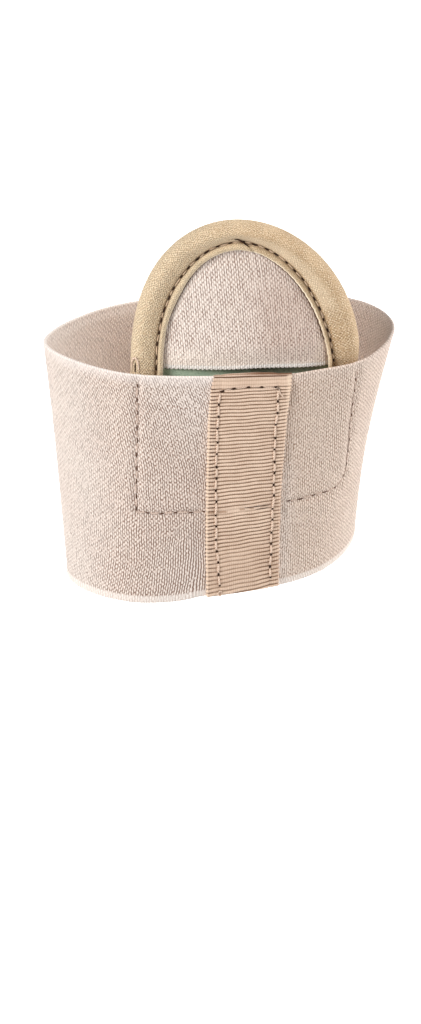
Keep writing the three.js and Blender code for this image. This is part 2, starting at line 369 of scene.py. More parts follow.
def settled(u, v):
    """Heights on the cloth, with the front edge a little lower, and lowest at the tape's medial edge."""
    dip = FRONT_DIP["depth"] * bell(u, FRONT_DIP["u"], FRONT_DIP["reach"])
    return v - (FRONT_EDGE["drop"] + dip) * smooth_step(2 * FRONT_EDGE["start"], 0, v)


def band_section():
    """Closed section of the band as v and n: from the rear selvedge's middle up, over the front and down."""
    rear_half = BAND_THICKNESS / 2
    front_half = FRONT_EDGE["half"]
    round_off = (np.arange(SELVEDGE_STEPS) + 0.5) / SELVEDGE_STEPS * np.pi / 2
    straight = np.linspace(-BAND_HEIGHT + rear_half, -front_half, BAND_ROWS)
    rear_v = -BAND_HEIGHT + rear_half - rear_half * np.cos(round_off)
    front_v = -front_half + front_half * np.sin(round_off)
    v = np.concatenate([rear_v, straight, front_v])
    half = half_thickness(v)
    front = FRONT_BEAD["height"] * np.exp(-(((v + FRONT_BEAD["width"]) / FRONT_BEAD["width"]) ** 4))
    rear = smooth_step(0.7 * REAR_BEAD["width"], REAR_BEAD["width"], v + BAND_HEIGHT)
    beads = front + REAR_BEAD["height"] * (1 - rear)
    out = np.concatenate([np.sin(round_off), np.ones(BAND_ROWS), np.cos(round_off)]) * (half + beads)
    return np.concatenate([v, v[::-1]]), np.concatenate([out - half, -(out + half)[::-1]])


def woven_band(finish):
    """The band's section carried round the loop from one butted end to the other."""
    v, n = (a[:, None] for a in band_section())
    u = BUTT_GAP / 2 + (length_round(v) - BUTT_GAP) * np.linspace(0, 1, BAND_COLUMNS + 1)
    side = signed(u, v)
    v = np.broadcast_to(v, u.shape)
    relief = band_relief(side, v)
    inner_face = np.arange(len(v))[:, None] >= len(v) // 2
    relief = np.where(inner_face, np.maximum(relief, -GROOVE_INSIDE), relief)
    risen = settled(side, v) + PUCKER["rise"] * puckered(side, v, PUCKER)
    points = place(u, risen, n + relief)
    chart = np.stack([u - PUCKER_DRAW["by"] * puckered(side, v, PUCKER_DRAW), v], axis=2)
    surface = Surface()
    numbers = surface.add_grid(points, np.concatenate([chart, chart[:1]]))
    surface.add_cap(numbers[:, 0], chart[:, 0])
    surface.add_cap(numbers[:, -1], chart[:, -1], flip=True)
    return surface.make("woven_band", finish)


# The ribbed tape over the seam

RIB_PITCHES = {
    "v": (-58.0, -48.0, -42.0, -36.0, -30.0, -20.0, -3.1, -2.9, 0.0, 0.2, 9.0),
    "pitch": (1.12, 1.07, 0.97, 0.94, 0.98, 0.93, 0.90, 1.02, 1.02, 0.85, 0.85),
}
RIB_START = -3.0
RIB_TABLE = {"from": -60.0, "to": 20.0, "step": 0.05}
RIB_DEPTH = 0.36
TAPE_ROW_STEP = 0.115
TAPE_COLUMNS = 48
FOLD = {"start": -3.2, "end": -0.3, "gap": 0.12, "rise": 0.06, "thin": 0.5, "steps": 26}
FOLD_SAG = {"depth": 1.1, "middle": 0.3}
FLAP_STEPS = 14
EDGE_STEPS = 3
EDGE_BULGE = 0.18
EDGE_LOOP = 0.14
TAPE_PLAIN = {"rear": -2.8, "front": -0.1, "share": 0.7}
TAPE_CREASE = {"v": -35.0, "depth": 0.16, "width": 0.7, "share": 0.7}
TAPE_SLACK = {"front": -43.0, "full": -48.0, "hem": -56.2, "medial": 5.5, "lateral": 1.0, "share": 0.35}
TAPE_CORNERS = {"depth": 0.5, "from": 4.0, "to": 9.5, "start": -2.5}
SEAM_DIP = {"depth": 0.2, "width": 0.4}
CROSS_DIP = {"depth": 0.26, "width": 0.35}
DEEPEST = 0.75 * TAPE_THICKNESS


def rib_count(along):
    """Ribs counted up the tape from its cross row: steps along the tape over the pitch there, summed."""
    ways = np.arange(RIB_TABLE["from"], RIB_TABLE["to"], RIB_TABLE["step"])
    counts = np.cumsum(RIB_TABLE["step"] / np.interp(ways, RIB_PITCHES["v"], RIB_PITCHES["pitch"]))
    return np.interp(along, ways, counts) - np.interp(RIB_START, ways, counts)


def tape_path(lift):
    """One face of the tape as v, n and turned: up the band, half a turn round its front edge, down inside it.

    Turned goes from 0 to 1 in the second half of the turn.
    """
    half = FRONT_EDGE["half"]
    thin = FOLD["thin"] * lift
    reach = half + FOLD["gap"] + thin
    rear = TAPE_EDGES["v"][0]
    up = np.linspace(rear, 0, int(round(-rear / TAPE_ROW_STEP)), endpoint=False)
    flat = LAYER_GAP + lift
    drawn_in = flat + (reach - half - flat) * smooth_step(FOLD["start"], FOLD["end"], up)
    angle = np.linspace(0, np.pi, FOLD["steps"])
    down = np.linspace(0, -TAPE_FLAP, FLAP_STEPS + 1)[1:]
    v = np.concatenate([up, (FOLD["rise"] + thin) * np.sin(angle), down])
    inside = -2 * half_thickness(down) - FOLD["gap"] - thin
    n = np.concatenate([drawn_in, reach * np.cos(angle) - half, inside])
    turned = np.concatenate([0 * up, smooth_step(np.pi / 2, np.pi, angle), 0 * down + 1])
    return v, n, turned


def tape_places(u, path):
    """Points of one face of the tape, which sags inside the band towards both edges."""
    v, n, turned = (a[:, None] for a in path)
    sag = FOLD_SAG["depth"] * ((u - FOLD_SAG["middle"]) / TAPE_EDGES["right"][0]) ** 2
    return place(u, settled(u, v) - sag * turned, n)


def leaning_ribs(u, along):
    """Rib count at places of the tape: ribs lean up to the medial side, most near the rear, and waver."""
    lean = u * (0.005 + 0.0011 * np.maximum(-along - 20.0, 0)) * smooth_step(1.0, -2.0, along)
    waver = 0.06 * np.sin(0.9 * u + 0.35 * along) + 0.05 * np.sin(0.37 * u - 0.8 * along)
    return rib_count(along - lean) + waver * smooth_step(0.5, -3.0, along)


def tape_relief(u, along):
    """Depth below the tape's full thickness: round ribs, a plain fold, dips at stitch rows and crease."""
    ribs = RIB_DEPTH * np.abs(2 * np.mod(leaning_ribs(u, along), 1) - 1) ** 2
    plain = smooth_step(TAPE_PLAIN["rear"] - 0.3, TAPE_PLAIN["rear"] + 0.3, along)
    plain = plain * (1 - smooth_step(TAPE_PLAIN["front"] - 0.2, TAPE_PLAIN["front"] + 0.1, along))
    slack = smooth_step(TAPE_SLACK["front"], TAPE_SLACK["full"], along)
    slack = slack * smooth_step(TAPE_SLACK["medial"], TAPE_SLACK["lateral"], u)
    slack = slack * smooth_step(TAPE_SLACK["hem"] - 0.5, TAPE_SLACK["hem"] + 0.3, along)
    crease = bell(along, TAPE_CREASE["v"], TAPE_CREASE["width"])
    for share, values in ((plain, TAPE_PLAIN), (slack, TAPE_SLACK), (crease, TAPE_CREASE)):
        ribs = ribs * (1 - values["share"] * share)
    rows = [np.interp(along, row[:, 1], row[:, 0]) for row in TAPE_ROWS]
    dips = sum(SEAM_DIP["depth"] * bell(u, row, SEAM_DIP["width"]) for row in rows)
    cross = CROSS_DIP["depth"] * bell(along, np.interp(u, *TAPE_ROW_CROSS.T), CROSS_DIP["width"])
    corners = TAPE_CORNERS["depth"] * smooth_step(TAPE_CORNERS["from"], TAPE_CORNERS["to"], np.abs(u))
    corners = corners * smooth_step(TAPE_CORNERS["start"], 0, along)
    return np.clip(ribs + dips + cross + corners + TAPE_CREASE["depth"] * crease, 0, DEEPEST)


def ribbed_tape(finish):
    """A flat section with round edges carried along the tape's path, its outer face cut by the relief."""
    outer_path = tape_path(TAPE_THICKNESS)
    inner_path = tape_path(0.0)
    outer_v = outer_path[0]
    along = (outer_v[0] + run_lengths(np.stack(outer_path[:2], axis=1)))[:, None]
    edges = [np.interp(outer_v, TAPE_EDGES["v"], TAPE_EDGES[side]) for side in ("left", "right")]
    left, right = (a[:, None] for a in edges)
    loops = EDGE_LOOP * np.cos(TURN * leaning_ribs(np.concatenate([left, right], axis=1), along))
    across = np.linspace(0, 1, TAPE_COLUMNS + 1)[None, :]
    u = (left + loops[:, :1]) * (1 - across) + (right - loops[:, 1:]) * across
    full = 1 - tape_relief(u, np.broadcast_to(along, u.shape)) / TAPE_THICKNESS
    inner = tape_places(u, inner_path)
    top = inner + (tape_places(u, outer_path) - inner) * full[..., None]
    shares = np.linspace(0, 1, EDGE_STEPS + 2)[1:-1]
    bulge = EDGE_BULGE * np.sin(np.pi * shares)

    def edge(column, sign):
        """Points round one edge from the outer face to the inner one, standing out in the middle."""
        out = tape_places(u[:, [column]] + sign, inner_path)[:, 0] - inner[:, column]
        way = inner[:, column] - top[:, column]
        return np.stack([top[:, column] + way * s + out * b for s, b in zip(shares, bulge)], axis=1)

    points = np.concatenate([top, edge(-1, 1.0), inner[:, ::-1], edge(0, -1.0)[:, ::-1]], axis=1)
    flat = np.broadcast_to(u[:, :1], (len(u), EDGE_STEPS))
    charted = np.concatenate([u, flat + u[:, -1:] - u[:, :1], u[:, ::-1], flat, u[:, :1]], axis=1)
    chart = np.stack([charted, leaning_ribs(charted, np.broadcast_to(along, charted.shape))], axis=2)
    surface = Surface()
    numbers = surface.add_grid(points, chart)
    shift = EDGE_STEPS // 2
    for row, flip in ((0, True), (-1, False)):
        surface.add_cap(np.roll(numbers[row], shift), np.roll(chart[row, :-1], shift, axis=0), flip)
    return surface.make("ribbed_tape", finish)


# The pad: rim, cover and insert

RIM_RING = 720
INSERT_RING = 240
CLOSING_RINGS = 5
CLOSING_STEP = 2.0
PLAIN_INSET = 5.0
FLAT_OFFSET = 200.0
ROLL = {"inset": 3.0, "width": 2.0, "height": 0.6}
WRINKLES = {"inset": 5.2, "width": 0.9, "height": 0.05}
NEEDLE_PULL = {"inset": STITCH_INSET, "width": 1.0, "height": -0.14}
LIP_SINK = {"inset": 7.5, "width": 0.45, "height": -0.4}
CREASE_DEPTH = -1.05
RIM_FACE = np.array([
    (0.3, -1.9), (1.0, -0.75), (2.0, -0.1), (3.0, 0.1), (4.0, 0.02), (5.2, -0.25), (6.0, -0.55), (6.3, -0.85),
    (STITCH_INSET, CREASE_DEPTH), (6.95, -0.75), (7.25, -0.2), (7.65, 0.08), (8.2, -0.2),
])

# How the stitch row and the lip's edge wander off their even insets, by the angle from the medial side
RIM_WANDER = {
    "angle": (0, 30, 45, 60, 68, 77, 90, 100, 113, 124, 135, 142, 154, 180),
    "stitch": (1.11, 1.11, 1.05, 1.00, 0.95, 0.89, 0.83, 0.87, 0.94, 1.00, 1.00, 1.00, 1.00, 1.00),
    "lip": (1.00, 1.00, 1.00, 0.99, 0.98, 0.95, 0.92, 0.93, 0.96, 0.99, 1.02, 1.01, 0.96, 0.97),
}
LIP_RIPPLE = {"share": 0.009, "rate": 1.7, "angles": (80.0, 65.0)}

# The pleat at the front, where one end of the lip laps over the other, as x, y points on the pad
PLEAT = np.array([(-2.7, 36.7), (0.0, 36.5), (1.3, 35.7), (2.5, 34.5), (3.4, 33.2)])
PLEAT_STEP = {"half": 0.15, "raised": 0.3, "rise": 1.6, "sunk": 0.4, "fall": 0.9}

# The hollow in the insert behind the slit
DENT = {"x": 7.0, "y": 2.2, "depth": 2.3, "wide": 11.5, "tall": 3.6}


def pad_outline(count):
    """Points round the pad at even steps, anticlockwise from outside: half an ellipse, two round corners."""
    side = PAD["half_width"] - PAD["corner"]
    rear = PAD["corner"] - PAD["rear"]
    turn = np.linspace(0, np.pi, 721)
    quarter = np.linspace(np.pi, 1.5 * np.pi, 91)
    x = np.concatenate([PAD["half_width"] * np.cos(turn), -side + PAD["corner"] * np.cos(quarter),
                        side + PAD["corner"] * np.cos(quarter + np.pi / 2), [PAD["half_width"]]])
    y = np.concatenate([PAD["front"] * np.sin(turn), rear + PAD["corner"] * np.sin(quarter),
                        rear + PAD["corner"] * np.sin(quarter + np.pi / 2), [0.0]])
    along = run_lengths(np.stack([x, y], axis=1))
    marks = np.linspace(0, along[-1], count, endpoint=False)
    return np.interp(marks, along, x), np.interp(marks, along, y), marks


def draw_in(x, y, inset):
    """Outline points drawn in, on each side by as much as the rim is wide there."""
    across = np.where(x > 0, RIM_SHARE["medial"], RIM_SHARE["lateral"])
    along = np.where(y > 0, RIM_SHARE["front"], RIM_SHARE["rear"])
    reach = np.where(y > 0, PAD["front"], PAD["rear"])
    return x * (1 - across * inset / PAD["half_width"]), y * (1 - along * inset / reach)


def wandering(x, y, inset):
    """Insets that follow the wander of the stitch row and the lip, even on the roll and in the pocket."""
    angle = np.degrees(np.arctan2(y / PAD["front"], x / PAD["half_width"]))
    angle = np.where(angle < -90, 180, np.maximum(angle, 0))
    stitch, lip = (np.interp(angle, RIM_WANDER["angle"], RIM_WANDER[row]) for row in ("stitch", "lip"))
    ripple = np.sin(LIP_RIPPLE["rate"] * angle) * np.sin(0.23 * LIP_RIPPLE["rate"] * angle + 1.0)
    lip = lip + LIP_RIPPLE["share"] * ripple * smooth_step(*LIP_RIPPLE["angles"], angle)
    to_stitch = smooth_step(1.5, STITCH_INSET, inset)
    to_lip = smooth_step(STITCH_INSET, LIP_INSET, inset)
    return inset * (1 + (stitch - 1) * to_stitch * (1 - to_lip) + (lip - 1) * to_lip)


def even(x, y, inset):
    """Insets as they are, all round."""
    return inset


def on_pad(x, y):
    """u and v of places on the pad, whose front sways to the lateral side."""
    v = PAD["widest"] + y
    return PAD["centre"] + x - PAD_SWAY * np.maximum(v, 0), v


def rim_line(inset):
    """A line round the rim at one inset, as x and y on the pad and u and v on the cloth."""
    x, y, _ = pad_outline(RIM_RING)
    x, y = draw_in(x, y, wandering(x, y, inset))
    return x, y, *on_pad(x, y)


def crown(x, y):
    """How far the filling swells before the band: a parabola across, rising from the cover's lower edge."""
    across = np.clip(1 - (x / CROWN["half_width"]) ** 2, 0, 1)
    along = np.clip(1 - (y / PAD["front"]) ** 4, 0, 1)
    return CROWN["height"] * across * along * smooth_step(0, CROWN["rise"], PAD["widest"] + y - COVER_EDGE)


def smooth_section(table, steps):
    """A section's table of inset and depth rows as a finer line, by Catmull-Rom cubics between the rows."""
    rows = np.array(table, float)
    ends = np.concatenate([rows[:1], rows, rows[-1:]])
    before, here, after, later = (ends[k:len(ends) - 3 + k] for k in range(4))
    spans = cubic_spans(here, after, (after - before) / 2, (later - here) / 2, steps)
    return np.concatenate([spans.reshape(-1, 2), rows[-1:]])


def pad_solid(surface, section, outline, inset_at, relief):
    """A section of inset and depth carried round the pad, closed at both middles by rings that shrink evenly.

    The map runs round the pad and along the section. From the last row of the section that lies less than
    PLAIN_INSET in, it is the pad's own flat x and y, set far off.
    """
    ring_x, ring_y, marks = (a[None, :] for a in outline)
    shares = np.linspace(0, 1, CLOSING_RINGS + 2)[1:-1]
    steps = np.arange(1, CLOSING_RINGS + 1) * CLOSING_STEP
    run = run_lengths(section)
    run = np.concatenate([-steps[::-1], run, run[-1] + steps])
    scale = np.concatenate([shares, np.ones(len(section)), shares[::-1]])[:, None]
    rows = np.pad(section, ((CLOSING_RINGS, CLOSING_RINGS), (0, 0)), mode="edge")
    inset, depth = (rows[:, k][:, None] for k in range(2))
    x, y = (a * scale for a in draw_in(ring_x, ring_y, inset_at(ring_x, ring_y, inset)))
    points = place(*on_pad(x, y), depth + relief(x, y, inset, depth, marks))
    ring = np.append(marks[0], 2 * marks[0, -1] - marks[0, -2])
    chart = np.stack(np.broadcast_arrays(ring[None, :], run[:, None]), axis=2)
    flat = np.pad(np.stack([x, y], axis=2), ((0, 0), (0, 1), (0, 0)), mode="wrap") + FLAT_OFFSET
    plain = CLOSING_RINGS + len(section) - int(np.argmax(section[::-1, 0] < PLAIN_INSET)) - 1
    numbers = surface.add_grid(points[:plain + 1], chart[:plain + 1], flip=True)
    inner = surface.add_points(points[plain + 1:])
    linked = np.concatenate([numbers[-1:], inner])
    surface.add_cells(np.concatenate([linked, linked[:, :1]], axis=1), flat[plain:], flip=True)
    middle = np.zeros(1)
    for ends, places, row, flip in ((numbers[0], chart[0], 0, False), (inner[-1], flat[-1], -1, True)):
        height = rows[row, 1] + relief(middle, middle, rows[row, 0], rows[row, 1], middle)
        pole = surface.add_points(place(*on_pad(middle, middle), height))
        fan = np.stack([np.broadcast_to(pole, ends.shape), ends, np.roll(ends, -1)], axis=1)
        tip = np.broadcast_to(places[:-1].mean(axis=0), places[1:].shape)
        surface.add_faces(fan, np.stack([tip, places[:-1], places[1:]], axis=1), flip)


def pleat_relief(x, y):
    """Height beside the pleat: the lateral end of the lip rises towards it, what lies beyond it sinks."""
    edge = np.interp(x, PLEAT[:, 0], PLEAT[:, 1])
    slope = np.interp(x, PLEAT[:-1, 0], np.diff(PLEAT[:, 1]) / np.diff(PLEAT[:, 0]))
    beyond = (y - edge) / np.sqrt(1 + slope ** 2)
    step = smooth_step(-PLEAT_STEP["half"], PLEAT_STEP["half"], beyond)
    raised = PLEAT_STEP["raised"] * np.exp(np.minimum(beyond, 0) / PLEAT_STEP["rise"]) * (1 - step)
    sunk = -PLEAT_STEP["sunk"] * np.exp(-np.maximum(beyond, 0) / PLEAT_STEP["fall"]) * step
    there = smooth_step(-3.4, -0.8, x) * smooth_step(4.6, 3.4, x) * (y > PAD["front"] / 2)
    return there * (raised + sunk)


def clear_of_band(v):
    """0 where the band covers the rim, 1 where the rim is free of it."""
    return smooth_step(0.5, 5.0, v)


def along_inset(inset, values):
    """A bell across the rim about one inset."""
    return bell(inset, values["inset"], values["width"])


def rim_roll(inset, v):
    """How much fuller the roll is where the band doesn't press on it."""
    return ROLL["height"] * along_inset(inset, ROLL) * clear_of_band(v)


def rim_relief(x, y, inset, depth, marks):
    """Relief of the rim's front, as a sum: the fuller roll, small wrinkles beside it, and the pleat.

    The crease is drawn down at each needle hole, and the lip puffs and is sunken on the medial side.
    """
    v = PAD["widest"] + y
    free = clear_of_band(v)
    front = smooth_step(PAD_MIDDLE - 0.5, PAD_MIDDLE + 0.5, depth)
    upper = (inset < LIP_INSET - 0.05) & (inset > 0.5)
    pulls = (0.5 + 0.5 * np.cos(TURN * marks / RIM_PITCH)) ** 2
    drawn = NEEDLE_PULL["height"] * along_inset(inset, NEEDLE_PULL) * upper * pulls
    middle_lip = along_inset(inset, LIP_SINK) * upper
    sunken = LIP_SINK["height"] * smooth_step(2.5, 6.0, x) * free * middle_lip
    puffs = (0.07 * np.sin(marks / 7.3 + 1.1) + 0.05 * np.sin(marks / 2.7)) * middle_lip
    ripple = np.sin(marks / 1.9 + 0.7 * np.sin(marks / 5.0))
    wrinkles = WRINKLES["height"] * ripple * along_inset(inset, WRINKLES) * free
    lapped = smooth_step(3.0, 4.2, inset) * upper * pleat_relief(x, y)
    return front * (rim_roll(inset, v) + drawn + sunken + puffs + wrinkles + lapped)


def rim_section():
    """The rim's section of inset and depth: pocket floor and wall, lip, stitch crease, roll, inner side."""
    pocket = [(20, POCKET_FLOOR), (13, POCKET_FLOOR), (POCKET_INSET + 0.4, POCKET_FLOOR),
              (POCKET_INSET, POCKET_FLOOR + 0.4), (POCKET_INSET, LIP_UNDERSIDE - 0.3),
              (POCKET_INSET + 0.3, LIP_UNDERSIDE)]
    shown = [(8.1, LIP_UNDERSIDE), (LIP_INSET, LIP_UNDERSIDE + 0.4), *(RIM_FACE[::-1] + (0, RIM_TOP)),
             (0.0, PAD_MIDDLE), (0.4, PAD_UNDERSIDE + 1.9), (1.6, PAD_UNDERSIDE + 0.7),
             (3.4, PAD_UNDERSIDE + 0.1), (POCKET_INSET, PAD_UNDERSIDE), (13, PAD_UNDERSIDE),
             (20, PAD_UNDERSIDE)]
    return np.concatenate([np.array(pocket, float), smooth_section(shown, 4)])


def rim_run():
    """How far along the rim's section its crease and its lip's edge lie, as its map counts them."""
    section = rim_section()
    run = run_lengths(section)
    crease = np.argmin(np.abs(section - (STITCH_INSET, RIM_TOP + CREASE_DEPTH)).sum(axis=1))
    lip = np.argmax(np.where(section[:, 1] > LIP_UNDERSIDE, section[:, 0], 0))
    return float(run[crease]), float(run[lip])


CREASE_RUN, LIP_RUN = rim_run()


def rolled_rim(finish):
    """The tan sheet behind the band, its section carried round the pad."""
    surface = Surface()
    pad_solid(surface, rim_section(), pad_outline(RIM_RING), wandering, rim_relief)
    return surface.make("rolled_rim", finish)


def insert_relief(x, y, inset, depth, marks):
    """Small unevenness, and on the front face the crown and the dent behind the slit."""
    hollow = ((x - DENT["x"]) / DENT["wide"]) ** 2 + ((y - DENT["y"]) / DENT["tall"]) ** 2
    facing = smooth_step(INSERT_TOP - 0.8, INSERT_TOP, depth)
    inside = smooth_step(FILLING_INSET, FILLING_INSET + 2, inset)
    swell = crown(x, y) - DENT["depth"] * np.exp(-hollow) * inside
    return 0.04 * np.sin(marks / 2.9) * np.sin(inset) + swell * facing


def foam_insert(finish):
    """The insert in the pocket: a flat cushion with round edges, a little uneven."""
    side = [(20, 0.0), (13, 0.0), (FILLING_INSET + 2, 0.0),
            (FILLING_INSET + 0.25, 0.25), (FILLING_INSET, 0.8)]
    table = [(inset, INSERT_TOP - below) for inset, below in side]
    table += [(inset, INSERT_UNDERSIDE + above) for inset, above in side[::-1]]
    surface = Surface()
    pad_solid(surface, smooth_section(table, 3), pad_outline(INSERT_RING), even, insert_relief)
    return surface.make("foam_insert", finish)


COVER_COLUMNS = 420
COVER_ROWS = 56
COVER_BACK_ROWS = 12
COVER_BEND = {"rows": 7, "upper": 0.25, "lower": 0.35}
COVER_TUCK = {"depth": 0.45, "from": 0.88, "to": 0.95}
COVER_FULLNESS = 0.88
COVER_CURL = {"height": 0.3, "most": 0.15, "fade": 1.2}
WALE_PITCH = 0.57
WALE_HEIGHT = 0.05
PICOT = {"pitch": 1.1, "height": 0.28, "reach": 0.5, "free": 6.0}


def knit_cover(finish):
    """The cover: columns from its lower edge up to the pocket's arch, closed round both long edges.

    The lower edge has small picots and curls, the face has wales, sags a little and swells with the filling,
    and near the arch it is tucked under the lip.
    """
    apex = PAD["front"] - RIM_SHARE["front"] * FILLING_INSET
    low = COVER_EDGE - PAD["widest"]
    start = np.arcsin(low / apex) + 0.012
    turn = np.linspace(np.pi - start, start, COVER_COLUMNS + 1)[None, :]
    x, _ = draw_in(PAD["half_width"] * np.cos(turn), np.ones_like(turn), FILLING_INSET)
    lift, dip = (a["by"] * smooth_step(a["from"], a["to"], x) for a in (COVER_LIFT, COVER_DIP))
    edge = low - COVER_DROP + lift - dip
    tall = apex * np.sin(turn) - edge
    half = (COVER_TOP - COVER_UNDERSIDE) / 2
    bend = np.linspace(0, np.pi, COVER_BEND["rows"] + 2)[1:-1]
    up = np.linspace(0, 1, COVER_ROWS) ** 1.15
    down = np.linspace(1, 0, COVER_BACK_ROWS)
    share = np.concatenate([up, 0 * bend + 1, down, 0 * bend])[:, None]
    over, under = COVER_BEND["upper"] * np.sin(bend), -COVER_BEND["lower"] * np.sin(bend)
    past = np.concatenate([0 * up, over, 0 * down, under])[:, None]
    out = np.concatenate([0 * up + half, half * np.cos(bend), 0 * down - half, -half * np.cos(bend)])[:, None]
    u, _ = on_pad(x, np.full_like(x, low))
    free = np.minimum(tall, PICOT["free"]) / PICOT["free"]
    picot = PICOT["height"] * np.abs(np.sin(np.pi * u / PICOT["pitch"])) * free
    y = edge - picot * np.exp(-share * tall / PICOT["reach"]) + share * tall + past * free
    x = np.broadcast_to(x, y.shape)
    u, v = on_pad(x, y)
    straight_u = u + PAD_SWAY * v
    wales = WALE_HEIGHT * np.cos(TURN * straight_u / WALE_PITCH) * (out > 0)
    sag = 0.05 * np.sin(u / 6.5 + 0.6) * np.sin(v / 8.0 + 0.4)
    curl = COVER_CURL["height"] * np.exp(-np.maximum(v - COVER_EDGE, 0) / COVER_CURL["fade"])
    curl = np.minimum(curl * np.sin(u / 9.0 + 0.9), COVER_CURL["most"])
    sides, _ = draw_in(PAD["half_width"] * np.array([-1.0, 1.0]), np.ones(2), FILLING_INSET)
    arch = np.hypot(x / np.where(x < 0, sides[0], sides[1]), y / apex)
    tucked = -COVER_TUCK["depth"] * smooth_step(COVER_TUCK["from"], COVER_TUCK["to"], arch) * (out > 0)
    swell = wales + sag + curl + tucked + crown(x, y)
    points = place(u, v, COVER_TOP - half + COVER_FULLNESS * out + swell)
    chart = np.stack([straight_u, v], axis=2)
    surface = Surface()
    numbers = surface.add_grid(points, np.concatenate([chart, chart[:1]]))
    surface.add_faces(numbers[None, :, 0], chart[None, :, 0])
    surface.add_faces(numbers[None, :, -1], chart[None, :, -1], flip=True)
    return surface.make("knit_cover", finish)


# Threads and needle holes

THREAD_STEPS = 7
THREAD_SIDES = 6
ROUND_END = 0.12
UNEVEN = {"along": 0.3, "rate": 1.37, "aside": 0.1}
THREAD_SINK = 0.15
HOLE = {"lift": 0.08, "sink": 0.05, "flat": 0.4}
SHADE_FLAT = 0.6
PLEAT_FLAT = 0.8

# Rows of stitches: depth, start, pitch, length of thread and of hole, thread's radius and lift, hole's radius
RIM_PITCH = 3.05
SEWING = {
    "rim": (RIM_TOP - 0.9, 1.5, RIM_PITCH, 1.9, 1.2, 0.17, 0.16, 0.22),
    "tape": (TAPE_FACE - 0.12, 1.6, 3.2, 2.9, 0.66, 0.28, 0.12, 0.27),
    "cross": (TAPE_FACE - 0.22, 0.5, 3.3, 2.6, 0.95, 0.14, 0.04, 0.27),
    "pocket": (-0.16, 1.75, 3.5, 2.5, 1.3, 0.19, 0.1, 0.18),
}

# The bar over the rim's lateral end, the loop at the tape's rear end, and the thread's tail at its front
BAR = {"u": -28.3, "v": -0.8, "half": 1.0, "tall": 4.3, "stand": 0.26, "radius": 0.24}
LOOP = {"u": -6.4, "v": -56.9, "half": 0.55, "tall": 0.6, "radius": 0.17}
TAIL = np.array([(6.8, -3.0), (7.0, -4.2), (7.3, -5.0), (7.9, -5.7), (8.5, -6.0)])
TAIL_RADIUS = 0.18

# Lines that the pocket row presses in the tape: where they start and end, and their height
PRESSED_LINES = ((-0.6, 6.2, -34.75), (2.2, 5.6, -35.45))

# Radii of the dark tubes of painted shade in creases and beside the lip, and how deep they lie below the face
CREASE_SHADES = {"pleat": 0.2, "bar": 0.2, "pressed": 0.1, "medial_lip": 0.14, "lateral_lip": 0.12}
SHADE_DEPTHS = {"pleat": 0.25, "bar": 0.1, "pressed": 0.18, "lip": 0.3}


def tubes(surface, paths, radius, flat=1.0):
    """Many closed tubes at once: paths holds u, v, n for each tube and step, flat is height to width."""
    u, v, n = (np.array(paths[..., k]) for k in range(3))
    centres = place(u, v, n)
    ways = np.gradient(centres, axis=1)
    across = np.cross(ways, sheet_normal(u, v))
    across /= np.linalg.norm(across, axis=2, keepdims=True)
    upward = np.cross(across, ways)
    upward /= np.linalg.norm(upward, axis=2, keepdims=True)
    steps = paths.shape[1]
    taper = np.sqrt(np.clip(1 - np.abs(np.linspace(-1, 1, steps)) ** 3, ROUND_END ** 2, 1))
    angle = (np.arange(THREAD_SIDES) / THREAD_SIDES * TURN)[:, None]
    ring = np.cos(angle) * across[:, :, None] + flat * np.sin(angle) * upward[:, :, None]
    numbers = surface.add_points(centres[:, :, None] + radius * taper[None, :, None, None] * ring)
    closed = np.concatenate([numbers, numbers[:, :, :1]], axis=2)
    turns = np.linspace(0, 1, THREAD_SIDES + 1)[None, None, :]
    lengths = np.linspace(0, 1, steps)[None, :, None]
    chart = np.stack([np.broadcast_to(a, closed.shape) for a in (turns, lengths)], axis=3)
    surface.add_faces(quads(closed), quads(chart))
    surface.add_faces(numbers[:, 0], chart[:, 0, :-1], flip=True)
    surface.add_faces(numbers[:, -1], chart[:, -1, :-1])


def stitches(line, first, pitch, length, lift, sink):
    """Paths of stitches along a line of u, v, n points: each rises by lift and dips by sink.

    Sines of the place along the row shift them a little along it and to its sides.
    """
    along = run_lengths(line[:, :2])
    starts = np.arange(first, along[-1] - length, pitch)[:, None]
    share = np.linspace(0, 1, THREAD_STEPS)[None, :]
    marks = starts + share * length
    marks = marks + UNEVEN["along"] * np.sin(UNEVEN["rate"] * marks) * np.sin(0.31 * marks + 0.6)
    u, v, n = (np.interp(marks, along, line[:, k]) for k in range(3))
    arch = np.sin(np.pi * share)
    u = u + UNEVEN["aside"] * np.sin(0.83 * marks + 0.4)
    v = v + UNEVEN["aside"] * np.sin(0.71 * marks + 1.9)
    return np.stack([u, v, n + lift * arch - sink * (1 - arch) ** 2], axis=2)


def sew(threads, holes, row, kind):
    """One row of stitches on u, v points: threads into one mesh, the holes between them into another."""
    depth, start, pitch, thread, hole, radius, lift, wide = SEWING[kind]
    line = cloth_line(*row.T, depth)
    runs = stitches(line, start + (pitch - thread) / 2, pitch, thread, lift, THREAD_SINK)
    pits = stitches(line, start - hole / 2, pitch, hole, HOLE["lift"], HOLE["sink"])
    tubes(threads, runs, radius)
    tubes(holes, pits, wide, HOLE["flat"])


def rim_row():
    """The stitch row in the rim's valley, from the band on the medial side round to the lateral side."""
    _, y, u, v = rim_line(STITCH_INSET)
    shown = (v > -1.5) & (y > 0)
    return np.stack([u[shown], v[shown]], axis=1)


